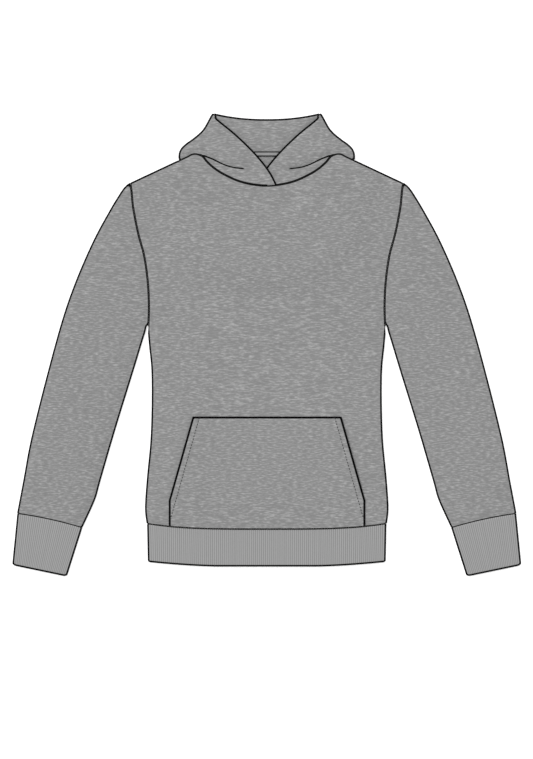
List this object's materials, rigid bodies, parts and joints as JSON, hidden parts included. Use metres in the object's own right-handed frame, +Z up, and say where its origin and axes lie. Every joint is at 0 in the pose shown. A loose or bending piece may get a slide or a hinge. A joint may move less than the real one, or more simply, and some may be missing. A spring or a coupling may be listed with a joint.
{
  "type": "pullover hoodie laid flat",
  "caption": "Long-sleeved fleece pullover lying flat, with a folded-down crossover hood, a kangaroo pocket, ribbed cuffs and a ribbed hem band.",
  "frame": {"origin": "on the surface that the garment lies on, under the middle of its outline", "axes": "+X across the chest towards the wearer's left sleeve, +Y from the hem up to the hood, +Z up from the surface"},
  "size_m": [0.8348, 0.763, 0.0132],
  "materials": {
    "fleece": "grey marl loopback fleece, matt, with short lighter streaks along the knit",
    "rib": "grey marl rib knit, a shade lighter, matt",
    "tape": "grey jersey neck tape with a row of stitches along each edge"
  },
  "bodies": {
    "root": {"front": "fleece", "back": "fleece", "pocket": "fleece", "hem_band": "rib", "sleeve_left": "fleece", "sleeve_right": "fleece", "cuff_left": "rib", "cuff_right": "rib", "hood_back": "fleece", "hood_left": "fleece", "hood_right": "fleece", "hood_pouch": "fleece", "neck_tape": "tape"}
  },
  "joints": []
}
